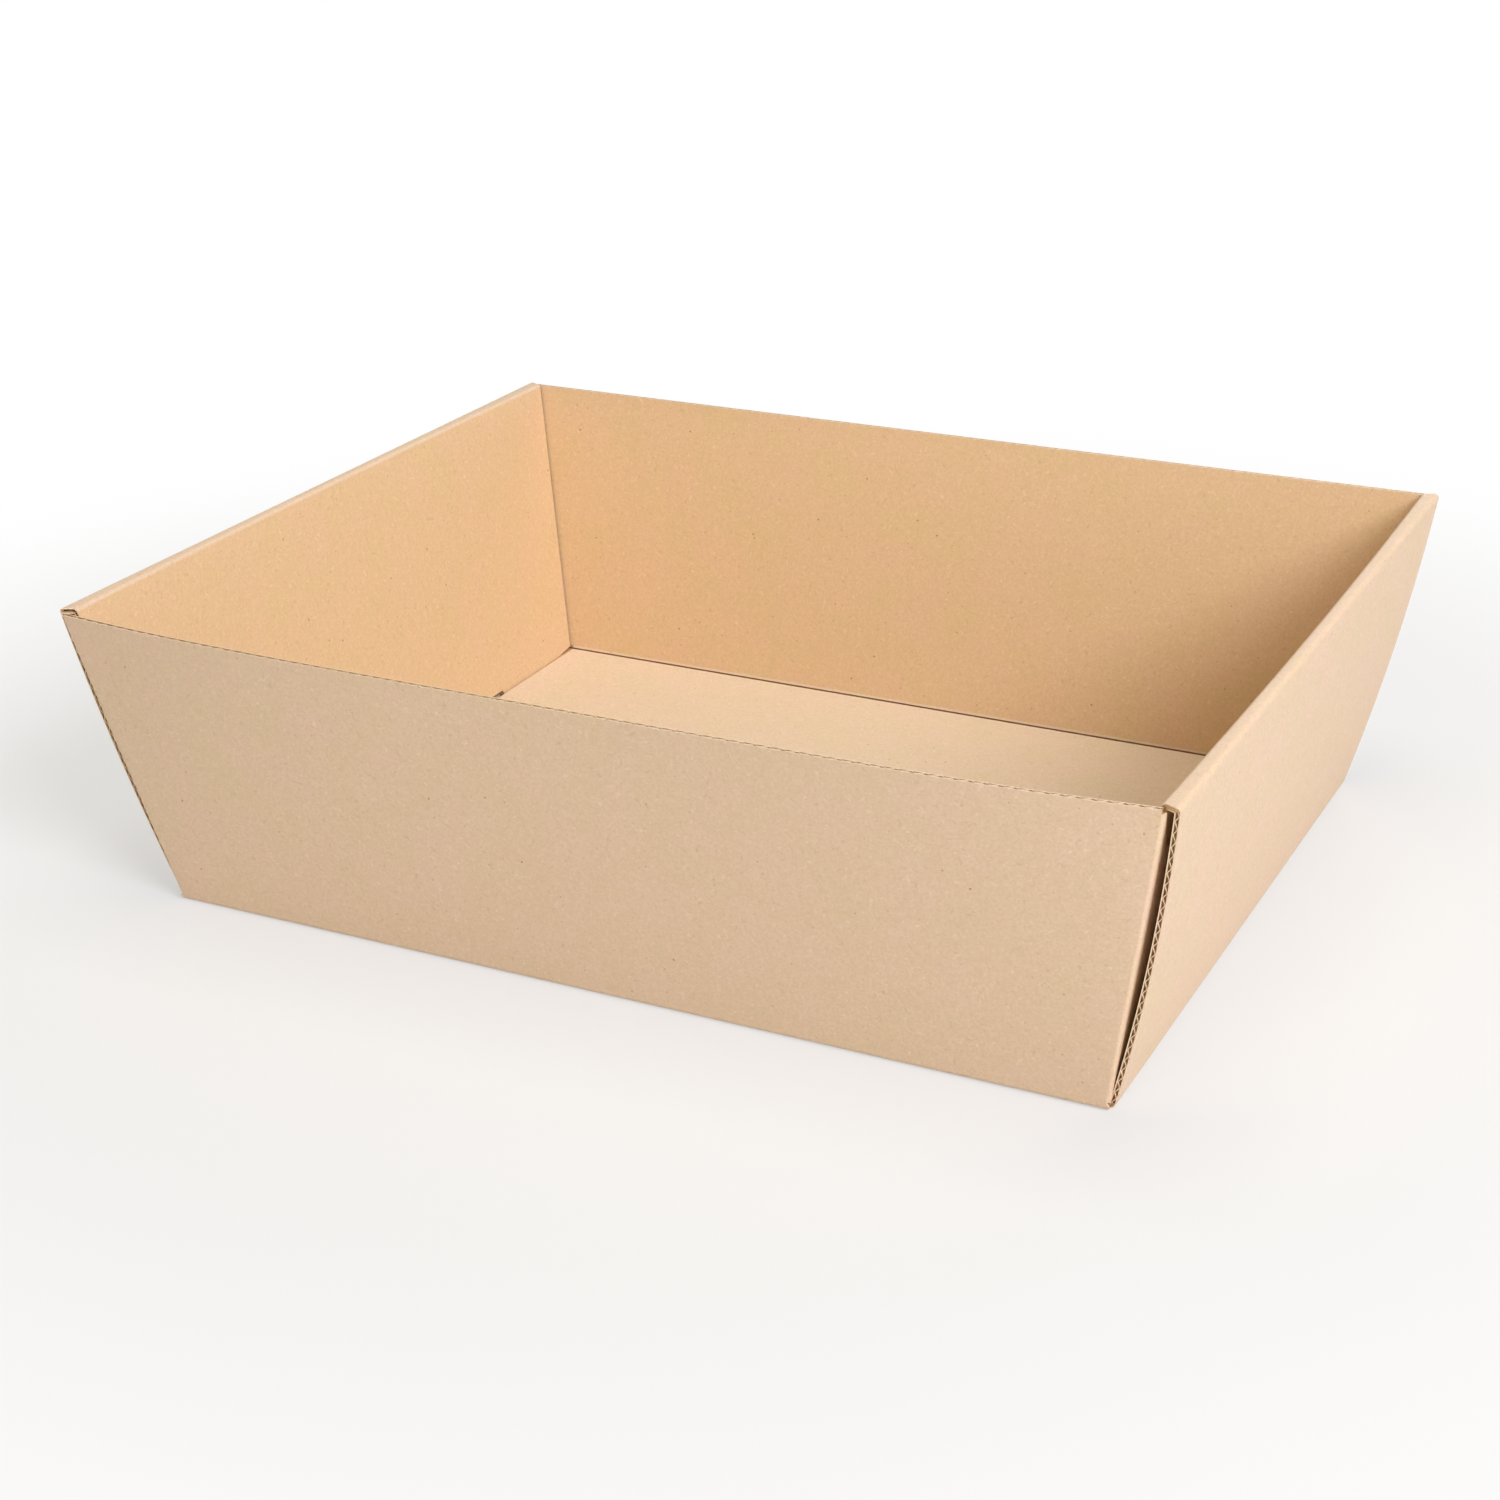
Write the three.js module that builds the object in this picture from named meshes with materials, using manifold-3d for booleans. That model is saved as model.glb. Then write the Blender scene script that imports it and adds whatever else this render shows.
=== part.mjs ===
import * as THREE from 'three';
import { mergeGeometries, mergeVertices } from 'three/addons/utils/BufferGeometryUtils.js';
import Module from 'manifold-3d';

// A tapered tray folded from one sheet of thin corrugated board. The front and back are single
// walls. Each end is doubled: the board rolls over the top and comes down inside, and tabs on
// its foot lock into slots in the base. Flaps on the front and back walls are held in between.
// Millimetres, +Z up, +X along the tray, -Y to the front, origin under the middle of the base.

// Outside sizes, measured to the sharp corners that the rounded folds would make
const baseLength = 255;
const baseWidth = 199;
const rimLength = 288;
const rimWidth = 230;
const trayHeight = 83;

// The board and its folds
const board = 1.4;
const layerGap = 0.2;
const creaseRadius = 1.8;
const cornerFoldRadius = 2.2;
const creaseSteps = 4;
const straightAboveFold = 0.6;

// Inside the board: a fluted sheet between two liners. The flutes run from front to back and up
// the front and back walls, and their open ends are modelled this deep along the cut edges.
const flutePitch = 3.3;
const liner = 0.25;
const flutedSheet = 0.2;
const linerSag = 0.08;
const fluteDepth = 3;
const cutBeyond = 0.5;

// Top edges of the front and back walls, below the top of the rolled ends
const wallTopDrop = 1.2;
const foldTopDrop = 2.4;

// How far the board has bent out of flat
const frontBow = 4.4;
const bowSteps = 18;
const endBulge = 1.5;
const bulgeSteps = 7;

// Cut edges of the end panels, behind the faces of the front and back walls
const outerPanelSetback = 1.1;
const innerPanelClearance = 0.8;
const footClearance = 0.9;
const footLength = 4;

// Corner flaps between the two layers of each end
const flapLength = 45;
const flapFreeHeight = 40;
const flapReliefLength = 5;
const flapReliefDepth = 9;

// Tabs on the foot of each inner panel, and their slots
const tabLength = 25;
const tabCentre = 68.6;
const tabTaper = 1;
const tabTipHeight = 0.4;
const slotLength = 32;
const slotCentre = 66.2;
const slotClearance = 0.35;

const kraft = new THREE.MeshStandardMaterial({ color: '#d8b68a', roughness: 0.85, metalness: 0 });

// Sizes worked out from the ones above
const endLean = Math.atan2((rimLength - baseLength) / 2, trayHeight);
const sideLean = Math.atan2((rimWidth - baseWidth) / 2, trayHeight);
const acrossEnd = board / Math.cos(endLean);
const acrossSide = board / Math.cos(sideLean);
const rolledWidth = 3 * acrossEnd + 2 * layerGap;
const flapInset = acrossEnd + layerGap;
const endTangent = creaseRadius * Math.tan((Math.PI / 2 - endLean) / 2);
const sideTangent = creaseRadius * Math.tan((Math.PI / 2 - sideLean) / 2);
const basePlateEnd = baseLength / 2 - endTangent;
const endPanelFoot = baseWidth / 2 - sideTangent - layerGap;
const wallStart = creaseRadius + straightAboveFold;

// Half the outside length and width of the tray at a height
const halfLength = (z) => THREE.MathUtils.mapLinear(z, 0, trayHeight, baseLength / 2, rimLength / 2);
const halfWidth = (z) => THREE.MathUtils.mapLinear(z, 0, trayHeight, baseWidth / 2, rimWidth / 2);

// Stations along a path that turns left, on the outside face of the board. A corner gives a
// point, the radius of its fold, and how many steps the straight stretch after it takes.
// Each station has a point and the unit direction through the board, to its inside face.
function foldedPath(corners) {
  const leftOf = (direction) => new THREE.Vector2(-direction.y, direction.x);
  const points = corners.map((corner) => new THREE.Vector2(corner.at[0], corner.at[1]));
  const stations = [];
  const lastOf = (list) => list[list.length - 1];
  const addStraight = (to, direction, steps) => {
    const from = lastOf(stations).point;
    for (let step = 1; step <= steps; step += 1) {
      stations.push({ point: from.clone().lerp(to, step / steps), through: leftOf(direction) });
    }
  };
  const directionFrom = (index) => points[index + 1].clone().sub(points[index]).normalize();
  stations.push({ point: points[0], through: leftOf(directionFrom(0)) });
  for (let index = 1; index < points.length; index += 1) {
    const arriving = directionFrom(index - 1);
    const steps = corners[index - 1].steps ?? 1;
    const radius = corners[index].radius ?? 0;
    if (radius === 0) {
      addStraight(points[index], arriving, steps);
      continue;
    }
    const leaving = directionFrom(index);
    const turn = Math.acos(THREE.MathUtils.clamp(arriving.dot(leaving), -1, 1));
    const tangent = radius * Math.tan(turn / 2);
    const foldStart = points[index].clone().addScaledVector(arriving, -tangent);
    addStraight(foldStart, arriving, steps);
    const centre = foldStart.clone().addScaledVector(leftOf(arriving), radius);
    for (let step = 1; step <= creaseSteps; step += 1) {
      const through = leftOf(arriving).rotateAround(new THREE.Vector2(), turn * step / creaseSteps);
      stations.push({ point: centre.clone().addScaledVector(through, -radius), through });
    }
  }
  return stations;
}

// The end at +X, from the base up the outer panel, over the top and down the inner panel
const footHeight = board + footClearance;
const footTop = footHeight + footLength;
const innerFace = (z) => halfLength(z) - rolledWidth;
const endStations = foldedPath([
  { at: [basePlateEnd, 0] },
  { at: [baseLength / 2, 0], radius: creaseRadius, steps: bulgeSteps },
  { at: [rimLength / 2, trayHeight], radius: creaseRadius },
  { at: [rimLength / 2 - rolledWidth, trayHeight], radius: creaseRadius },
  { at: [innerFace(footTop), footTop] },
  { at: [innerFace(footHeight), footHeight] },
]);
const panelStart = 1 + creaseSteps;
const panelEnd = panelStart + bulgeSteps;
const innerStart = panelEnd + 2 * creaseSteps + 1;

// How far an end's outer panel bulges, at a share of the way up it
const bulgeAt = (up) => endBulge * 4 * up * (1 - up);

// Half the length of an end's outer panel, from front to back, at a height
const outerReach = (z) => {
  return THREE.MathUtils.lerp(endPanelFoot, rimWidth / 2 - outerPanelSetback, z / trayHeight);
};

// How far a front or back wall has bowed out, along it and at a height
const bowAt = (x, z, bow) => {
  const along = THREE.MathUtils.clamp(x / (halfLength(z) - flapInset - cornerFoldRadius), -1, 1);
  const rise = (z - wallStart) / (trayHeight - wallStart);
  return bow * rise * (1 - along ** 4);
};

// A closed sheet one board thick. It starts as a box with a grid of faces, and place() moves
// each grid point: column and row count the grid lines, and layer is 0 outside and 1 inside.
// Where columns, rows and layers are placed left-handed, the box is turned inside out first.
function sheet(columns, rows, place, leftHanded = false) {
  const geometry = new THREE.BoxGeometry(columns, rows, 1, columns, rows, 1);
  geometry.translate(columns / 2, rows / 2, 0.5);
  if (leftHanded) geometry.setIndex(Array.from(geometry.getIndex().array).reverse());
  const position = geometry.getAttribute('position');
  for (let index = 0; index < position.count; index += 1) {
    const column = Math.round(position.getX(index));
    const row = Math.round(position.getY(index));
    const layer = Math.round(position.getZ(index));
    const placed = place(column, row, layer);
    position.setXYZ(index, placed.x, placed.y, placed.z);
  }
  return geometry;
}

// The base with the folds along its front and back, up to where the walls start
function buildBase() {
  const wallWidth = halfWidth(wallStart);
  const stations = foldedPath([
    { at: [-wallWidth, wallStart] },
    { at: [-baseWidth / 2, 0], radius: creaseRadius },
    { at: [-endPanelFoot, 0] },
    { at: [endPanelFoot, 0] },
    { at: [baseWidth / 2, 0], radius: creaseRadius },
    { at: [wallWidth, wallStart] },
  ]);
  const lastRow = stations.length - 1;
  return sheet(1, lastRow, (column, row, layer) => {
    const { point, through } = stations[row];
    const end = column === 0 ? -1 : 1;
    const onPlate = Math.abs(point.x) <= endPanelFoot;
    const reach = onPlate ? basePlateEnd : halfLength(point.y) - flapInset - cornerFoldRadius;
    if (row === 0 || row === lastRow) {
      const inward = row === 0 ? 1 : -1;
      return new THREE.Vector3(end * reach, point.x + layer * inward * acrossSide, point.y);
    }
    const inside = point.clone().addScaledVector(through, layer * board);
    return new THREE.Vector3(end * reach, inside.x, inside.y);
  });
}

// The front wall with the two flaps folded in at its ends
function buildSideWall(bow) {
  const stationsAt = (z) => {
    const corner = halfLength(z) - flapInset;
    const face = -halfWidth(z);
    return foldedPath([
      { at: [-corner, face + flapLength] },
      { at: [-corner, face + flapReliefLength] },
      { at: [-corner, face], radius: cornerFoldRadius, steps: bowSteps },
      { at: [corner, face], radius: cornerFoldRadius },
      { at: [corner, face + flapReliefLength] },
      { at: [corner, face + flapLength] },
    ]);
  };
  const foldStart = 2;
  const foldEnd = foldStart + creaseSteps;
  const lastColumn = stationsAt(0).length - 1;
  const foldTop = trayHeight - foldTopDrop;
  const fromFreeEdge = (column) => Math.min(column, lastColumn - column);
  const topAt = (column) => {
    if (fromFreeEdge(column) === 0) return flapFreeHeight;
    if (fromFreeEdge(column) < foldStart) return foldTop - flapReliefDepth;
    return fromFreeEdge(column) < foldEnd ? foldTop : trayHeight - wallTopDrop;
  };
  return sheet(lastColumn, 1, (column, row, layer) => {
    const z = row === 0 ? wallStart : topAt(column);
    const { point, through } = stationsAt(z)[column];
    const across = fromFreeEdge(column) <= foldStart ? acrossEnd : acrossSide;
    const inside = point.clone().addScaledVector(through, layer * across);
    return new THREE.Vector3(inside.x, inside.y - bowAt(point.x, z, bow), z);
  }, true);
}

// The end at +X: up from the base, over the top and down inside, with tabs on its foot
function buildEndWall() {
  const lastRow = endStations.length - 1;
  const innerSetback = acrossSide + innerPanelClearance;

  const footWidth = halfWidth(footHeight) - innerSetback;
  const tabOuter = tabCentre + tabLength / 2;
  const tabInner = tabCentre - tabLength / 2;
  const nearColumns = [footWidth, tabOuter, tabOuter - tabTaper, tabInner + tabTaper, tabInner];
  const columns = [...nearColumns.map((y) => -y), ...nearColumns.toReversed()];
  const onTab = (y) => Math.abs(y) < tabOuter && Math.abs(y) > tabInner;

  const reachAt = (row, z) => {
    if (row <= 1) return endPanelFoot;
    if (row >= innerStart) return halfWidth(z) - innerSetback;
    const overTop = THREE.MathUtils.smoothstep(row, panelEnd + creaseSteps, innerStart - creaseSteps);
    return THREE.MathUtils.lerp(outerReach(z), halfWidth(z) - innerSetback, overTop);
  };
  return sheet(columns.length - 1, lastRow, (column, row, layer) => {
    const { point, through } = endStations[row];
    const placed = point.clone();
    if (row === lastRow && onTab(columns[column])) {
      placed.set(innerFace(tabTipHeight), tabTipHeight);
    }
    if (row > panelStart && row < panelEnd) {
      placed.addScaledVector(through, -bulgeAt((row - panelStart) / bulgeSteps));
    }
    placed.addScaledVector(through, layer * board);
    const y = (columns[column] / footWidth) * reachAt(row, point.y);
    return new THREE.Vector3(placed.x, y, placed.y);
  }, true);
}

// The open ends of the flutes in a cut edge. Each pitch has one flute under the outer liner and
// one under the inner. place() takes the distance along the edge from its middle, the depth
// through the board, and 0 at the flute's blind end or 1 beyond the cut.
function fluteEnds(edgeLength, side, place) {
  const core = board - 2 * liner;
  const sheetAlong = flutedSheet / Math.sin(Math.atan2(core, flutePitch / 2));
  const halfOpen = (flutePitch - sheetAlong) / 2;
  const openDepth = core * (1 - sheetAlong / flutePitch);
  const section = new THREE.Shape([
    new THREE.Vector2(-halfOpen, 0),
    new THREE.Vector2(0, -linerSag),
    new THREE.Vector2(halfOpen, 0),
    new THREE.Vector2(0, openDepth),
  ]);
  const count = Math.floor(edgeLength / flutePitch);
  const ends = [];
  for (let index = 0; index < count; index += 1) {
    const middle = (index + 0.5 - count / 2) * flutePitch;
    for (const facing of [1, -1]) {
      const flute = new THREE.ExtrudeGeometry(section, { depth: 1, bevelEnabled: false });
      const position = flute.getAttribute('position');
      for (let corner = 0; corner < position.count; corner += 1) {
        const fromMiddle = side * position.getX(corner) - flutePitch / 4;
        const fromLiner = liner + position.getY(corner);
        const through = facing === 1 ? fromLiner : board - fromLiner;
        const placed = place(middle + facing * fromMiddle, through, position.getZ(corner));
        position.setXYZ(corner, placed.x, placed.y, placed.z);
      }
      ends.push(flute);
    }
  }
  return mergeGeometries(ends);
}

// Flute ends along the top edge of the front wall
function buildSideFlutes(bow) {
  const top = trayHeight - wallTopDrop;
  const edgeLength = 2 * (halfLength(top) - flapInset - cornerFoldRadius) - flutePitch;
  return fluteEnds(edgeLength, 1, (x, through, outward) => {
    const z = THREE.MathUtils.lerp(top - fluteDepth, top + cutBeyond, outward);
    const across = (through / board) * acrossSide;
    return new THREE.Vector3(x, across - halfWidth(z) - bowAt(x, z, bow), z);
  });
}

// Flute ends along the front or back edge of the outer panel at +X
function buildEndFlutes(side) {
  const foot = endStations[panelStart].point;
  const head = endStations[panelEnd].point;
  const panelHeight = foot.distanceTo(head);
  return fluteEnds(panelHeight - flutePitch, -side, (distance, through, outward) => {
    const up = 0.5 + distance / panelHeight;
    const placed = foot.clone().lerp(head, up);
    placed.addScaledVector(endStations[panelStart].through, through - bulgeAt(up));
    const reach = outerReach(placed.y);
    const y = THREE.MathUtils.lerp(reach - fluteDepth, reach + cutBeyond, outward);
    return new THREE.Vector3(placed.x, side * y, placed.y);
  });
}

// The slots in the base that the tabs drop into
function buildSlots() {
  const outer = baseLength / 2 - rolledWidth + acrossEnd + slotClearance + board * Math.tan(endLean);
  const inner = baseLength / 2 - rolledWidth - slotClearance;
  const cutHeight = 3 * board;
  const slots = [];
  for (const end of [-1, 1]) {
    for (const side of [-1, 1]) {
      const slot = new THREE.BoxGeometry(outer - inner, slotLength, cutHeight);
      slots.push(slot.translate(end * (outer + inner) / 2, side * slotCentre, board / 2));
    }
  }
  return slots;
}

const wasm = await Module();
wasm.setup();

function toSolid(geometry) {
  const bare = geometry.clone();
  bare.deleteAttribute('normal');
  bare.deleteAttribute('uv');
  const merged = mergeVertices(bare);
  return new wasm.Manifold(new wasm.Mesh({
    numProp: 3,
    vertProperties: new Float32Array(merged.getAttribute('position').array),
    triVerts: new Uint32Array(merged.getIndex().array),
  }));
}

function toGeometry(solid) {
  const { vertProperties, triVerts } = solid.getMesh();
  const indexed = new THREE.BufferGeometry();
  indexed.setAttribute('position', new THREE.BufferAttribute(vertProperties, 3));
  indexed.setIndex(new THREE.BufferAttribute(triVerts, 1));
  const geometry = indexed.toNonIndexed();
  geometry.computeVertexNormals();
  return geometry;
}

function buildTray() {
  const panels = [
    buildSideWall(frontBow),
    buildSideWall(0).rotateZ(Math.PI),
    buildEndWall(),
    buildEndWall().rotateZ(Math.PI),
  ];
  let tray = toSolid(buildBase());
  for (const slot of buildSlots()) tray = tray.subtract(toSolid(slot));
  for (const panel of panels) tray = tray.add(toSolid(panel));
  const flutes = [
    buildSideFlutes(frontBow),
    buildSideFlutes(0).rotateZ(Math.PI),
    buildEndFlutes(1),
    buildEndFlutes(-1),
    buildEndFlutes(1).rotateZ(Math.PI),
    buildEndFlutes(-1).rotateZ(Math.PI),
  ];
  for (const edge of flutes) tray = tray.subtract(toSolid(edge));
  const mesh = new THREE.Mesh(toGeometry(tray), kraft);
  mesh.name = 'tray';
  return mesh;
}

const model = new THREE.Group();
model.add(buildTray());

export default model;
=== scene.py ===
from math import atan2, ceil, cos, pi, radians, sin, tan

import bmesh
import bpy
from mathutils import Matrix, Vector


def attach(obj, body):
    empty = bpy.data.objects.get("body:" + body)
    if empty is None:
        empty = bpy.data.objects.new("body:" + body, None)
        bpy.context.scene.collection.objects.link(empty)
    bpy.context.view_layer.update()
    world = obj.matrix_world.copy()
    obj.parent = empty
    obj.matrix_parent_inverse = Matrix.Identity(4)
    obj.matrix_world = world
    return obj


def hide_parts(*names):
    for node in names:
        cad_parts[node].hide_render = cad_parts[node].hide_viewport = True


# A folded tray of thin corrugated kraft board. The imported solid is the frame, and this script
# replaces it with the same tray in finer sheets: two liners, and the fluted sheet between them
# where a cut edge shows it. Sizes are in millimetres and follow the solid's, but the corner and
# rim folds are tighter here, and the rim is a hair smaller, so that the sheets stay within the
# solid's box.

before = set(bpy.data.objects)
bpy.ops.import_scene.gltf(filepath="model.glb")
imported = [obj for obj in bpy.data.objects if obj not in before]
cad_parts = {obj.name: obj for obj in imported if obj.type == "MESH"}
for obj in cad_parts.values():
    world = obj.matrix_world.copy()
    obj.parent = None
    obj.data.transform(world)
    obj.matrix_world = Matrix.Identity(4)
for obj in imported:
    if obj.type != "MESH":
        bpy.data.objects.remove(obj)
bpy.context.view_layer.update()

MM = 0.001

# Outside sizes, to the sharp corners that the rounded folds would make
BASE_LENGTH = 255
BASE_WIDTH = 199
RIM_LENGTH = 287.65
RIM_WIDTH = 229.75
HEIGHT = 83

# The board and its folds
BOARD = 1.4
LINER = 0.25
FLUTED_SHEET = 0.2
FLUTE_PITCH = 3.3
LAYER_GAP = 0.2
CREASE_RADIUS = 1.8
RIM_RADIUS = 1.2
CORNER_RADIUS = 1
CORNER_SQUEEZE = 0.5  # share of the thickness that a corner fold loses
CORNER_FLARE = 0.8  # how much further out a corner fold stands at its foot
CREASE_OVERLAP = 0.8  # how far a crease runs on under the corner fold
ABOVE_FOLD = 0.6  # straight wall above a crease, still part of the base's sheet
FOLD_STEPS = 8

# Top edges of the front and back walls, and what has bent out of flat
WALL_TOP_DROP = 1.2
FOLD_TOP_DROP = 2.4
FRONT_BOW = 4.4
END_BULGE = 1.46
RIM_PINCH = 1.2
CREASE_PINCH = 0.85

# How this tray is out of true: how much higher a wall's top stands at its left and right ends,
# and how far the front corners have strayed along X
FRONT_LIFT = (-0.5, 0.8)
BACK_LIFT = (0.6, 0.6)
FRONT_DRIFT = (-1.1, -1.3)
NO_DRIFT = (0, 0)

# Cut edges of the end panels, the corner flaps, the tabs and their slots
OUTER_SETBACK = 1.1
INNER_CLEARANCE = 0.8
FOOT_CLEARANCE = 0.9
FOOT_LENGTH = 4
FLAP_LENGTH = 45
FLAP_FREE_HEIGHT = 40
FLAP_RELIEF_LENGTH = 5
FLAP_RELIEF_DEPTH = 9
TAB_LENGTH = 25
TAB_CENTRE = 68.6
TAB_TAPER = 1
TAB_TIP = 0.4
SLOT_LENGTH = 32
SLOT_CENTRE = 66.2
SLOT_CLEARANCE = 0.35

# The fluted sheet along cut edges, and the solid core behind its open ends
EDGE_DEPTH = 6
FLUTE_STEPS = 8
WALL_FLUTES_IN = 1.5  # how far the wall's flutes stop short of its corner folds
WALL_FLUTES_DROP = 0.08
WALL_CORE = (0.92, 0.97)  # shares of the wall's height
PANEL_FLUTES = (0, 0.5, 0.985)  # shares of EDGE_DEPTH, outward
PANEL_CORE = (0, 0.84)

# Steps of the grids, and the angle from which an edge shows as a crisp one
BOW_STEPS = 48
FLAP_STEPS = 4
WALL_STEPS = 8
BULGE_STEPS = 20
INNER_STEPS = 10
MID_PANEL_COLUMNS = (28, 14)
SHARP_EDGE = radians(32)

END_LEAN = atan2((RIM_LENGTH - BASE_LENGTH) / 2, HEIGHT)
SIDE_LEAN = atan2((RIM_WIDTH - BASE_WIDTH) / 2, HEIGHT)
ACROSS_END = BOARD / cos(END_LEAN)
ACROSS_SIDE = BOARD / cos(SIDE_LEAN)
ROLLED_WIDTH = 3 * ACROSS_END + 2 * LAYER_GAP
FLAP_INSET = ACROSS_END + LAYER_GAP
END_TANGENT = CREASE_RADIUS * tan((pi / 2 - END_LEAN) / 2)
SIDE_TANGENT = CREASE_RADIUS * tan((pi / 2 - SIDE_LEAN) / 2)
PLATE_END = BASE_LENGTH / 2 - END_TANGENT
PANEL_FOOT = BASE_WIDTH / 2 - SIDE_TANGENT - LAYER_GAP
WALL_START = CREASE_RADIUS + ABOVE_FOLD
WALL_TOP = HEIGHT - WALL_TOP_DROP
FOLD_TOP = HEIGHT - FOLD_TOP_DROP


def mix(a, b, share):
    return a + (b - a) * share


def half_length(z):
    return mix(BASE_LENGTH, RIM_LENGTH, z / HEIGHT) / 2


def half_width(z):
    return mix(BASE_WIDTH, RIM_WIDTH, z / HEIGHT) / 2


def straight_half(z):
    """Half the straight stretch of the front or back wall, between its corner folds."""
    return half_length(z) - FLAP_INSET - CORNER_RADIUS


def bow_at(x, z, bow):
    along = max(-1, min(1, x / straight_half(z)))
    return bow * (z - WALL_START) / (HEIGHT - WALL_START) * (1 - along ** 4)


def folded_path(corners):
    """Stations (point, direction through the board) along a path that turns left.
    A corner is x, y, the radius of its fold and the steps of the straight stretch after it."""
    points = [Vector(corner[:2]) for corner in corners]

    def heading(index):
        return (points[index + 1] - points[index]).normalized()

    def left_of(direction):
        return Vector((-direction.y, direction.x))

    stations = [(points[0], left_of(heading(0)))]

    def go_straight(to, direction, steps):
        start = stations[-1][0]
        for step in range(1, steps + 1):
            stations.append((start.lerp(to, step / steps), left_of(direction)))

    for index in range(1, len(points)):
        arriving = heading(index - 1)
        radius = corners[index][2]
        steps = corners[index - 1][3]
        if not radius:
            go_straight(points[index], arriving, steps)
            continue
        turn = arriving.angle(heading(index))
        start = points[index] - arriving * (radius * tan(turn / 2))
        go_straight(start, arriving, steps)
        centre = start + left_of(arriving) * radius
        for step in range(1, FOLD_STEPS + 1):
            through = left_of(arriving)
            through.rotate(Matrix.Rotation(turn * step / FOLD_STEPS, 2))
            stations.append((centre - through * radius, through))
    return stations


def distances(stations):
    """How far along the path each station lies."""
    run = [0.0]
    for before, after in zip(stations, stations[1:]):
        run.append(run[-1] + (after[0] - before[0]).length)
    return run


def spread(low, high, steps):
    return [mix(low, high, step / steps) for step in range(steps + 1)]


def add_slab(tray, columns, rows, depths, place, finish, flat=None, keep=None, wave=None):
    """Adds a closed slab of board to the tray. Its grid lines are the columns and rows. It is
    extruded between two depths in the board and then bent by place(column, row, depth).
    finish is a material or picks one by column and row. flat() gives a point's place in the
    flat sheet, keep() says which faces stay and wave() lifts the slab."""
    part = bmesh.new()
    across, up = len(columns) - 1, len(rows) - 1
    bmesh.ops.create_grid(part, x_segments=across, y_segments=up, size=1)
    for vertex in part.verts:
        column = round((vertex.co.x + 1) / 2 * across)
        row = round((vertex.co.y + 1) / 2 * up)
        lift = wave(columns[column], rows[row]) if wave else 0
        vertex.co = Vector((columns[column], rows[row], depths[0] + lift))
    if keep:
        left_out = [face for face in part.faces if not keep(*face.calc_center_median()[:2])]
        bmesh.ops.delete(part, geom=left_out, context="FACES")
    for face in part.faces:
        middle = face.calc_center_median()[:2]
        face.material_index = finish(*middle) if callable(finish) else finish
    grown = bmesh.ops.extrude_face_region(part, geom=part.faces[:])["geom"]
    risen = [item for item in grown if isinstance(item, bmesh.types.BMVert)]
    bmesh.ops.translate(part, verts=risen, vec=(0, 0, depths[1] - depths[0]))
    sheet = part.loops.layers.uv.new("flat_sheet")
    for face in part.faces:
        depths_here = [loop.vert.co.z for loop in face.loops]
        # Faces across a liner's thickness are its cut edges, which take the paler cut-liner paper
        # with its painted highlight
        if finish != CORE_AND_SHADE and max(depths_here) - min(depths_here) > LINER / 2:
            face.material_index = CUT_LINER
        for loop in face.loops:
            at = flat(loop.vert.co.x, loop.vert.co.y) if flat else loop.vert.co.xy
            loop[sheet].uv = (at[0] * MM, at[1] * MM)
    for vertex in part.verts:
        vertex.co = Vector(place(*vertex.co)) * MM
    bmesh.ops.recalc_face_normals(part, faces=part.faces[:])
    finished = bpy.data.meshes.new("slab")
    part.to_mesh(finished)
    part.free()
    tray.from_mesh(finished)
    bpy.data.meshes.remove(finished)


def flute_wave(along):
    """Depth of the fluted sheet's outer face, at a distance across the flutes."""
    swing = (BOARD - 2 * LINER - FLUTED_SHEET) / 2
    return LINER + swing * (1 + cos(2 * pi * along / FLUTE_PITCH))


def turned(place, half_turn):
    """The same placing, or its half turn about the tray's upright axis."""
    def placed(*at):
        x, y, z = place(*at)
        return (-x, -y, z) if half_turn else (x, y, z)
    return placed


# Materials of the tray, and depths in the board from its outer face
OUTSIDE, INSIDE, BASE_PAINTED_LIGHT, CUT_LINER, CORE_AND_SHADE = range(5)
OUTER_LINER = (0, LINER)
INNER_LINER = (BOARD - LINER, BOARD)
BETWEEN = (LINER, BOARD - LINER)
FLUTE = (0, FLUTED_SHEET)


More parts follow.
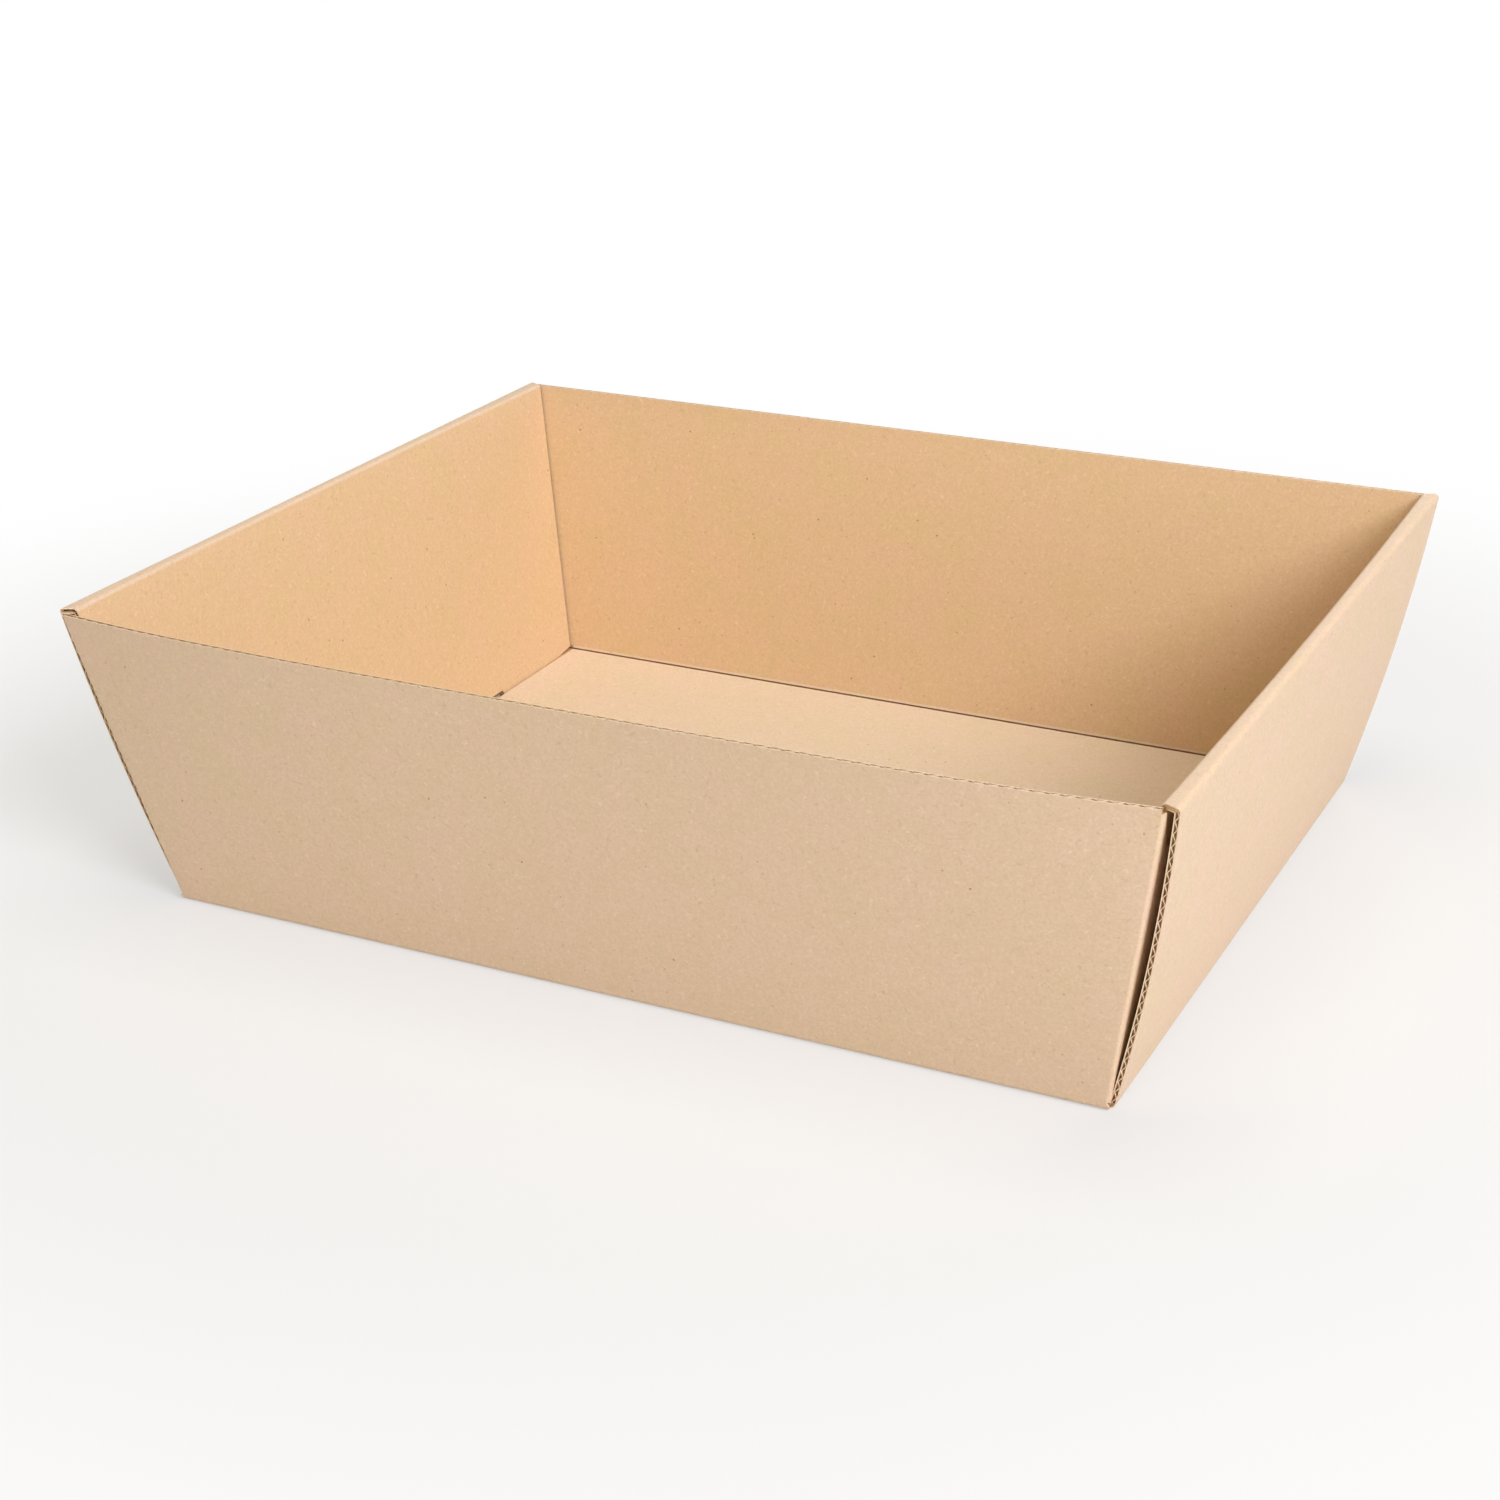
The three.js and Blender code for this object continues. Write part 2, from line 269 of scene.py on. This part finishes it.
def add_base(tray):
    """The base with its front and back creases, and the slots that the tabs drop into."""
    wall = half_width(WALL_START)
    stations = folded_path([
        (-wall, WALL_START, 0, 1),
        (-BASE_WIDTH / 2, 0, CREASE_RADIUS, 1),
        (-PANEL_FOOT, 0, 0, 1),
        (-SLOT_CENTRE - SLOT_LENGTH / 2, 0, 0, 1),
        (-SLOT_CENTRE + SLOT_LENGTH / 2, 0, 0, 1),
        (SLOT_CENTRE - SLOT_LENGTH / 2, 0, 0, 1),
        (SLOT_CENTRE + SLOT_LENGTH / 2, 0, 0, 1),
        (PANEL_FOOT, 0, 0, 1),
        (BASE_WIDTH / 2, 0, CREASE_RADIUS, 1),
        (wall, WALL_START, 0, 1),
    ])
    run = distances(stations)
    last = len(stations) - 1
    pinch = {}
    for step in range(FOLD_STEPS + 1):
        pinch[1 + step] = pinch[last - 1 - step] = sin(pi * step / FOLD_STEPS)
    ends = BASE_LENGTH / 2
    inner_panel = ends - ROLLED_WIDTH
    slot_outer = inner_panel + ACROSS_END + SLOT_CLEARANCE + BOARD * tan(END_LEAN)
    slot_inner = inner_panel - SLOT_CLEARANCE
    columns = [-ends, -slot_outer, -slot_inner, slot_inner, slot_outer, ends]

    def place(column, row, depth):
        point, through = stations[round(row)]
        on_plate = abs(point.x) < PANEL_FOOT + LAYER_GAP / 2
        reach = PLATE_END if on_plate else straight_half(point.y) + CORNER_FLARE
        if not on_plate and round(row) not in (0, last):
            reach += CREASE_OVERLAP
        x = max(-reach, min(reach, column))
        if round(row) in (0, last):
            inward = depth / BOARD * ACROSS_SIDE * (1 if round(row) == 0 else -1)
            return x, point.x + inward, point.y
        if depth > BOARD / 2:
            depth -= CREASE_PINCH * pinch.get(round(row), 0)
        inside = point + through * depth
        return x, inside.x, inside.y

    def flat(column, row):
        return column, run[round(row)]

    def keep(column, row):
        middle = (stations[int(row)][0].x + stations[int(row) + 1][0].x) / 2
        in_slot = abs(abs(middle) - SLOT_CENTRE) < SLOT_LENGTH / 2
        return not (in_slot and slot_inner < abs(column) < slot_outer)

    rows = list(range(last + 1))
    add_slab(tray, columns, rows, OUTER_LINER, place, OUTSIDE, flat, keep)

    # Painted shade: the base's inner liner takes the fluted sheet's brown in its front and back
    # creases and in the strips under the end panels' feet, and elsewhere the base paper with its
    # painted light
    def painted_crease_shade(column, row):
        in_crease = 1 < row < FOLD_STEPS + 1 or 1 < last - row < FOLD_STEPS + 1
        return CORE_AND_SHADE if in_crease or abs(column) > slot_inner else BASE_PAINTED_LIGHT

    add_slab(tray, columns, rows, INNER_LINER, place, painted_crease_shade, flat, keep)
    plate = rows[FOLD_STEPS + 1:-FOLD_STEPS - 1]
    add_slab(tray, columns, plate, BETWEEN, place, CORE_AND_SHADE, flat, keep)


def add_side_wall(tray, bow, half_turn, lift, drift):
    """The front wall, or the back wall by a half turn, with its two corner flaps. At its left and
    right ends the top edge stands higher by lift, and the corner fold strays along X by drift."""
    def stations_at(z):
        corner, face, share = half_length(z) - FLAP_INSET, -half_width(z), min(1, z / HEIGHT)
        # The flare is gone soon above the foot. The left corner strays early, the right one late.
        flare = CORNER_FLARE * (1 - share) ** 8
        left = -corner - flare + drift[0] * min(1, 4 * share)
        right = corner + flare + drift[1] * share ** 2
        return folded_path([
            (-corner, face + FLAP_LENGTH, 0, FLAP_STEPS),
            (-corner, face + FLAP_RELIEF_LENGTH, 0, 1),
            (left, face, CORNER_RADIUS, BOW_STEPS),
            (right, face, CORNER_RADIUS, 1),
            (min(corner, right), face + FLAP_RELIEF_LENGTH, 0, FLAP_STEPS),
            (corner, face + FLAP_LENGTH, 0, 1),
        ])

    run = distances(stations_at(HEIGHT / 2))
    last = len(run) - 1
    fold_start = FLAP_STEPS + 1
    fold_end = fold_start + FOLD_STEPS

    def top_at(column):
        inward = min(column, last - column)
        if inward < fold_start:
            relief = FOLD_TOP - FLAP_RELIEF_DEPTH
            return mix(FLAP_FREE_HEIGHT, relief, inward / FLAP_STEPS)
        return FOLD_TOP if inward < fold_end else WALL_TOP

    def lift_at(x):
        return mix(lift[0], lift[1], x / RIM_LENGTH + 0.5)

    def place(column, row, depth):
        column = round(column)
        top = top_at(column)
        if fold_start <= column <= last - fold_start:
            top += lift_at((column - last / 2) / last * RIM_LENGTH)
        z = mix(WALL_START, top, row)
        point, through = stations_at(z)[column]
        inward = min(column, last - column) - fold_start
        across = ACROSS_END if inward <= 0 else ACROSS_SIDE
        if 0 < inward < FOLD_STEPS:
            across *= 1 - CORNER_SQUEEZE * sin(pi * inward / FOLD_STEPS)
        inside = point + through * (depth / BOARD * across)
        return inside.x, inside.y - bow_at(point.x, z, bow), z

    def flat(column, row):
        return run[round(column)] - run[-1] / 2, mix(WALL_START, top_at(round(column)), row)

    columns, rows = list(range(last + 1)), spread(0, 1, WALL_STEPS)
    placed = turned(place, half_turn)
    add_slab(tray, columns, rows, OUTER_LINER, placed, OUTSIDE, flat)
    add_slab(tray, columns, rows, INNER_LINER, placed, INSIDE, flat)
    for corner in (range(0, fold_end + 1), range(last - fold_end, last + 1)):
        add_slab(tray, list(corner), rows, BETWEEN, placed, CORE_AND_SHADE, flat)
    add_slab(tray, columns[fold_end:-fold_end], WALL_CORE, BETWEEN, placed, CORE_AND_SHADE, flat)

    def on_wall(x, z, depth):
        across, raised = depth / BOARD * ACROSS_SIDE, z + lift_at(x)
        return x, across - half_width(raised) - bow_at(x, raised, bow), raised

    reach = straight_half(WALL_TOP) - WALL_FLUTES_IN
    along = spread(-reach, reach, ceil(2 * reach / FLUTE_PITCH * FLUTE_STEPS))
    upward = spread(WALL_TOP - EDGE_DEPTH, WALL_TOP - WALL_FLUTES_DROP, 2)
    add_slab(
        tray, along, upward, FLUTE, turned(on_wall, half_turn), INSIDE,
        wave=lambda x, z: flute_wave(x),
    )


def add_end_wall(tray, half_turn):
    """The end at +X, or at -X by a half turn: up, over the top and down inside, with its tabs."""
    foot_height = BOARD + FOOT_CLEARANCE
    foot_top = foot_height + FOOT_LENGTH

    def inner_face(z):
        return half_length(z) - ROLLED_WIDTH

    stations = folded_path([
        (PLATE_END, 0, 0, 1),
        (BASE_LENGTH / 2, 0, CREASE_RADIUS, BULGE_STEPS),
        (RIM_LENGTH / 2, HEIGHT, RIM_RADIUS, 1),
        (inner_face(HEIGHT), HEIGHT, RIM_RADIUS, INNER_STEPS),
        (inner_face(foot_top), foot_top, 0, 1),
        (inner_face(foot_height), foot_height, 0, 1),
    ])
    run = distances(stations)
    last = len(stations) - 1
    panel_start = 1 + FOLD_STEPS
    panel_end = panel_start + BULGE_STEPS
    inner_start = panel_end + 2 * FOLD_STEPS + 1
    setback = ACROSS_SIDE + INNER_CLEARANCE
    foot_width = half_width(foot_height) - setback
    tab_outer, tab_inner = TAB_CENTRE + TAB_LENGTH / 2, TAB_CENTRE - TAB_LENGTH / 2
    near = [foot_width, tab_outer, tab_outer - TAB_TAPER, tab_inner + TAB_TAPER, tab_inner]
    near.extend(MID_PANEL_COLUMNS)
    columns = [-y for y in near] + [0] + near[::-1]

    def outer_reach(z):
        return mix(PANEL_FOOT, RIM_WIDTH / 2 - OUTER_SETBACK, z / HEIGHT)

    def bulge_at(share):
        return END_BULGE * 4 * share * (1 - share)

    def reach_at(row, z):
        if row == 1:
            return PANEL_FOOT
        if row >= inner_start:
            return half_width(z) - setback
        share = (row - panel_end - FOLD_STEPS) / (inner_start - panel_end - 2 * FOLD_STEPS)
        share = max(0, min(1, share))
        return mix(outer_reach(z), half_width(z) - setback, share * share * (3 - 2 * share))

    def place(column, row, depth):
        row = round(row)
        point, through = stations[row]
        on_tab = tab_inner < abs(column) < tab_outer
        if row == last and on_tab:
            point = Vector((inner_face(TAB_TIP), TAB_TIP))
        if panel_start < row < panel_end:
            point = point - through * bulge_at((row - panel_start) / BULGE_STEPS)
        inside = point + through * depth
        y = column / foot_width * reach_at(row, point.y)
        if row > panel_end + FOLD_STEPS:
            fall = min(1, max(0, 1 - (row - inner_start) / INNER_STEPS))
            inside.x += RIM_PINCH * fall * (1 - (column / foot_width) ** 2)
        return inside.x, y, inside.y

    def flat(column, row):
        return run[round(row)], column

    # Where the end sheet's outer liner has rolled over into the tray, it takes the inside paper
    # with its painted warm shade
    def facing(column, row):
        return INSIDE if row > inner_start else OUTSIDE

    # The crease starts where the base's plate ends, so the path's first two stations are one
    rows = list(range(1, last + 1))
    placed = turned(place, half_turn)
    add_slab(tray, columns, rows, OUTER_LINER, placed, facing, flat)
    add_slab(tray, columns, rows, INNER_LINER, placed, INSIDE, flat)
    add_slab(tray, columns, rows[:panel_start], BETWEEN, placed, CORE_AND_SHADE, flat)
    # At the left end the roll stands open
    filled = columns[1:-1] if half_turn else columns
    add_slab(tray, filled, rows[panel_end - 1:], BETWEEN, placed, CORE_AND_SHADE, flat)

    foot, head = stations[panel_start][0], stations[panel_end][0]
    through = stations[panel_start][1]
    panel_height = (head - foot).length
    upward = spread(0, panel_height, ceil(panel_height / FLUTE_PITCH * FLUTE_STEPS))
    for side in (-1, 1):
        def on_panel(distance, outward, depth, side=side):
            share = distance / panel_height
            point = foot.lerp(head, share) + through * (depth - bulge_at(share))
            return point.x, side * (outer_reach(point.y) - (1 - outward) * EDGE_DEPTH), point.y

        bent = turned(on_panel, half_turn)
        add_slab(
            tray, upward, PANEL_FLUTES, FLUTE, bent, INSIDE,
            wave=lambda distance, outward: flute_wave(distance),
        )
        add_slab(tray, spread(0, panel_height, BULGE_STEPS), PANEL_CORE, BETWEEN, bent, CORE_AND_SHADE)


# Kraft paper. Pattern scales are per metre. Tints multiply a paper's own colour.
CLOUDS, MOTTLES, GRAIN, TOOTH, FINE_TOOTH = 70, 420, 1300, 900, 2600
DARK_FIBRES = {"scale": 360, "cover": 0.55, "strength": 0.45, "tint": (0.72, 0.68, 0.62)}
PALE_FIBRES = {"scale": 410, "cover": 0.54, "strength": 0.5, "tint": (1.2, 1.26, 1.4)}
FIBRE_WIDTH = 0.03
# Scale, width in the pattern, the share of cells without a speck, and strength
SPECKS = ((230, 0.075, 0.6, 0.5), (130, 0.05, 0.55, 0.75))
SPECK_COLOUR = (142, 104, 66)
# The tray's materials in the order of their numbers
PAPERS = (
    # name, colour, speckled
    ("kraft_outside", (219, 192, 162), True),
    # Painted shade: the kraft of the tray's inside, drawn warmer and deeper than the outside's for
    # the warm light bounced about inside the tray
    ("kraft_inside_painted_warm_shade", (220, 188, 147), True),
    # The base's liner is the inside kraft painted paler and whiter: painted light where the
    # overhead lamp falls on it
    ("kraft_base_painted_light", (227, 207, 180), True),
    # Cut liner edges are painted paler than the faces: a painted highlight where the cut edges
    # catch the light
    ("kraft_cut_liner_painted_highlight", (238, 216, 186), False),
    # The fluted sheet's own brown, which also paints shade into the base's creases and under the
    # end panels' feet
    ("fluted_sheet_and_painted_shade", (188, 150, 106), False),
)


class Wire:
    """An output of a material's node. Arithmetic on it adds Math nodes."""

    def __init__(self, tree, socket=None):
        self.tree, self.socket = tree, socket

    def node(self, kind, inputs=None, output=0, **settings):
        made = self.tree.nodes.new("ShaderNode" + kind)
        for name, value in settings.items():
            setattr(made, name, value)
        for name, value in (inputs or {}).items():
            if isinstance(value, Wire):
                self.tree.links.new(value.socket, made.inputs[name])
            else:
                made.inputs[name].default_value = value
        return Wire(self.tree, made.outputs[output]) if made.outputs else None

    def maths(self, operation, first, second=0.0):
        return self.node("Math", {0: first, 1: second}, operation=operation)

    def __add__(self, other):
        return self.maths("ADD", self, other)

    def __mul__(self, other):
        return self.maths("MULTIPLY", self, other)

    def __sub__(self, other):
        return self.maths("SUBTRACT", self, other)

    def __rsub__(self, other):
        return self.maths("SUBTRACT", other, self)

    def __gt__(self, other):
        return self.maths("GREATER_THAN", self, other)

    __radd__ = __add__
    __rmul__ = __mul__

    def band(self, low, high):
        """0 below low, 1 above high, and smooth between."""
        limits = {"Value": self, "From Min": low, "From Max": high}
        return self.node("MapRange", limits, interpolation_type="SMOOTHSTEP")

    def blend(self, first, second):
        """A colour between two, by this wire's value."""
        return self.node("Mix", {0: self, 6: first, 7: second}, 2, data_type="RGBA")


def srgb(red, green, blue):
    """A colour written in the usual 0 to 255 steps, as the shaders take it."""
    def linear(step):
        share = step / 255
        return share / 12.92 if share <= 0.04045 else ((share + 0.055) / 1.055) ** 2.4
    return linear(red), linear(green), linear(blue), 1


def paper_material(name, colour, speckled):
    """Kraft paper: soft mottling, curved fibres, dark specks, and the flutes faintly in relief."""
    material = bpy.data.materials.new(name)
    material.use_nodes = True
    tree = material.node_tree
    tree.nodes.clear()
    start = Wire(tree)
    place = start.node("TexCoord", output=3)
    sheet = start.node("UVMap", uv_map="flat_sheet")

    def noise(scale, detail, roughness=0.5, at=place, distortion=0.0):
        return start.node("TexNoise", {
            "Vector": at, "Scale": scale, "Detail": detail, "Roughness": roughness,
            "Distortion": distortion,
        })

    def tinted(red, green, blue):
        return colour[0] * red, colour[1] * green, colour[2] * blue, 1

    cloudy = noise(CLOUDS, 3).band(0.3, 0.7)
    mottled = noise(MOTTLES, 3, 0.6).band(0.3, 0.7)
    grain = noise(GRAIN, 2, 0.6).band(0.3, 0.7)
    shade = cloudy.blend(tinted(0.97, 1.0, 0.93), tinted(1.03, 0.985, 1.07))
    shade = (mottled * 0.65).blend(shade, tinted(1.06, 1.07, 1.1))
    shade = (grain * 0.6).blend(shade, tinted(0.9, 0.87, 0.82))

    for fibres in (DARK_FIBRES, PALE_FIBRES):
        # A fibre is where a warped noise crosses its middle value, inside scattered patches
        scale, cover = fibres["scale"], fibres["cover"]
        line = start.maths("ABSOLUTE", noise(scale, 1, at=sheet, distortion=0.6) - 0.5)
        patch = noise(scale * 1.7, 1, at=sheet).band(cover, cover + 0.06)
        drawn = (1 - line.band(0, FIBRE_WIDTH)) * patch * fibres["strength"]
        shade = drawn.blend(shade, tinted(*fibres["tint"]))
    if speckled:
        for scale, width, left_out, strength in SPECKS:
            cells = {"Vector": place, "Scale": scale}
            spots = start.node("TexVoronoi", cells)
            picked = start.node("SeparateColor", {"Color": start.node("TexVoronoi", cells, 1)})
            dot = (1 - spots.band(width * 0.5, width)) * (picked > left_out) * strength
            shade = dot.blend(shade, srgb(*SPECK_COLOUR))
    across_flutes = start.node("SeparateXYZ", {"Vector": sheet})
    flutes = start.maths("COSINE", across_flutes * (2 * pi / (FLUTE_PITCH * MM)))
    height = flutes * 0.1 + noise(TOOTH, 3, 0.65) * 0.35 + noise(FINE_TOOTH, 1) * 0.25
    bump = start.node("Bump", {"Strength": 0.25, "Distance": 0.00012, "Height": height})
    surface = start.node("BsdfPrincipled", {
        "Base Color": shade, "Roughness": grain * 0.08 + 0.52, "Normal": bump,
        "Specular IOR Level": 0.5,
    })
    start.node("OutputMaterial", {"Surface": surface})
    return material


# The floor, in metres. Between the two distances of SHADOW_FADE the tray's shadow fades out.
FLOOR_SIZE = 8
FLOOR_DROP = 0.0002
FLOOR_PAINT = (0.72, 0.72, 0.72, 1)
SHADOW_FADE = (0.17, 0.42)
WHITE_NEAR_TRAY = 0.5  # how much of the floor's colour is plain white beside the tray
WHITE = (1, 1, 1, 1)
WORLD_LIGHT = 0.12
WORLD_TINT = (1, 0.84, 0.6, 1)
# Azimuth 0 is in front, and 90 at +X
SOFTBOXES = (
    # name, azimuth, elevation, distance, size, power, colour
    ("key_softbox", 57, 35, 2, 0.77, 30, (0.99, 1, 1.05)),
    ("overhead_softbox", 0, 88, 1.3, 0.7, 5.8, (1, 0.95, 0.84)),
    ("front_fill", -8, 12, 1.3, 0.4, 3.1, (1, 0.95, 0.84)),
    ("right_fill", 80, 8, 1.3, 0.7, 4.3, (1, 1, 1)),
    ("left_fill", -110, 50, 1.3, 0.7, 1.4, (1, 1, 1)),
    ("back_fill", 180, 20, 1.3, 0.7, 3, (1, 1, 1)),
)
LAMP_TARGET = Vector((0, 0, 0.04))

# The photograph's camera, solved from the tray's straight edges
CAMERA_AZIMUTH, CAMERA_ELEVATION, CAMERA_ROLL = radians(26.548), radians(23.161), radians(-0.808)
CAMERA_DISTANCE, CAMERA_RIGHT, CAMERA_UP = 0.72429, -0.00944, 0.02405
SENSOR_WIDTH = 36
FOCAL_SHARE = 2665.53 / 1500  # focal length over the width of the image


def seen_ray(start):
    """1 for rays by which the background itself is seen, directly or in a reflection."""
    seen = start.node("LightPath", output="Is Camera Ray")
    for other in ("Is Glossy Ray", "Is Transmission Ray"):
        seen = start.maths("MAXIMUM", seen, start.node("LightPath", output=other))
    return seen


def floor_material():
    """A pale floor that keeps the tray's shadow and turns into the white background further out.
    Under the base, where only the slots show it, it is plain paint."""
    material = bpy.data.materials.new("pale_floor")
    material.use_nodes = True
    material.node_tree.nodes.clear()
    start = Wire(material.node_tree)
    paint = start.node("BsdfPrincipled", {"Base Color": FLOOR_PAINT, "Roughness": 0.95})
    place = start.node("TexCoord", output=3)
    away = start.node("VectorMath", {0: place}, 1, operation="LENGTH").band(*SHADOW_FADE)
    along = start.maths("ABSOLUTE", start.node("SeparateXYZ", {"Vector": place}))
    across = start.maths("ABSOLUTE", start.node("SeparateXYZ", {"Vector": place}, 1))
    open_floor = start.maths("MAXIMUM", along > PLATE_END * MM, across > PANEL_FOOT * MM)
    white = start.node("Emission", {"Color": WHITE, "Strength": 1.0})
    share = seen_ray(start) * open_floor * (away * (1 - WHITE_NEAR_TRAY) + WHITE_NEAR_TRAY)
    clear = start.node("MixShader", {0: share, 1: paint, 2: white})
    start.node("OutputMaterial", {"Surface": clear})
    return material


def build_tray():
    """The whole tray as one mesh, with crisp edges where the board is cut."""
    shape = bmesh.new()
    add_base(shape)
    add_side_wall(shape, FRONT_BOW, False, FRONT_LIFT, FRONT_DRIFT)
    add_side_wall(shape, 0, True, BACK_LIFT, NO_DRIFT)
    add_end_wall(shape, False)
    add_end_wall(shape, True)
    for face in shape.faces:
        face.smooth = True
    for edge in shape.edges:
        if len(edge.link_faces) == 2 and edge.calc_face_angle(0) > SHARP_EDGE:
            edge.smooth = False
    mesh = bpy.data.meshes.new("folded_tray")
    shape.to_mesh(mesh)
    shape.free()
    tray = bpy.data.objects.new("folded_tray", mesh)
    bpy.context.scene.collection.objects.link(tray)
    for name, colour, speckled in PAPERS:
        mesh.materials.append(paper_material(name, srgb(*colour), speckled))
    return tray


def build_stage():
    """The floor and the weak, warm light of the world, which is seen as plain white."""
    bpy.ops.mesh.primitive_plane_add(size=FLOOR_SIZE, location=(0, 0, 0))
    floor = bpy.context.object
    floor.name = "floor"
    floor.data.transform(Matrix.Translation((0, 0, -FLOOR_DROP)))
    floor.data.materials.append(floor_material())

    world = bpy.context.scene.world or bpy.data.worlds.new("studio")
    bpy.context.scene.world = world
    world.use_nodes = True
    world.node_tree.nodes.clear()
    start = Wire(world.node_tree)
    seen = seen_ray(start)
    strength = mix(WORLD_LIGHT, 1.0, seen)
    sky = start.node("Background", {"Color": seen.blend(WORLD_TINT, WHITE), "Strength": strength})
    start.node("OutputWorld", {"Surface": sky})


def direction(azimuth, elevation):
    """From the tray towards a lamp or the camera. Angles are in radians."""
    level = cos(elevation)
    return Vector((sin(azimuth) * level, -cos(azimuth) * level, sin(elevation)))


def add_softbox(name, azimuth, elevation, distance, size, power, colour):
    """A square lamp that looks at the tray."""
    lamp = bpy.data.lights.new(name, "AREA")
    lamp.shape, lamp.size, lamp.energy, lamp.color = "SQUARE", size, power, colour
    holder = bpy.data.objects.new(name, lamp)
    bpy.context.scene.collection.objects.link(holder)
    towards = direction(radians(azimuth), radians(elevation))
    holder.location = LAMP_TARGET + towards * distance
    holder.rotation_euler = towards.to_track_quat("Z", "Y").to_euler()


def build_camera():
    """The camera, shifted sideways and up from the straight line of its direction."""
    back = direction(CAMERA_AZIMUTH, CAMERA_ELEVATION)
    level = (-back).cross(Vector((0, 0, 1))).normalized()
    upward = level.cross(-back)
    right = level * cos(CAMERA_ROLL) + upward * sin(CAMERA_ROLL)
    up = upward * cos(CAMERA_ROLL) - level * sin(CAMERA_ROLL)
    lens = bpy.data.cameras.new("camera")
    lens.sensor_width, lens.lens = SENSOR_WIDTH, FOCAL_SHARE * SENSOR_WIDTH
    camera = bpy.data.objects.new("camera", lens)
    bpy.context.scene.collection.objects.link(camera)
    spot = back * CAMERA_DISTANCE + level * CAMERA_RIGHT + upward * CAMERA_UP
    turn = Matrix((right, up, back)).transposed().to_4x4()
    camera.matrix_world = Matrix.Translation(spot) @ turn
    bpy.context.scene.camera = camera


tray = build_tray()
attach(tray, "root")
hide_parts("tray")
build_stage()
for softbox in SOFTBOXES:
    add_softbox(*softbox)
build_camera()
bpy.context.scene.view_settings.view_transform = "Standard"
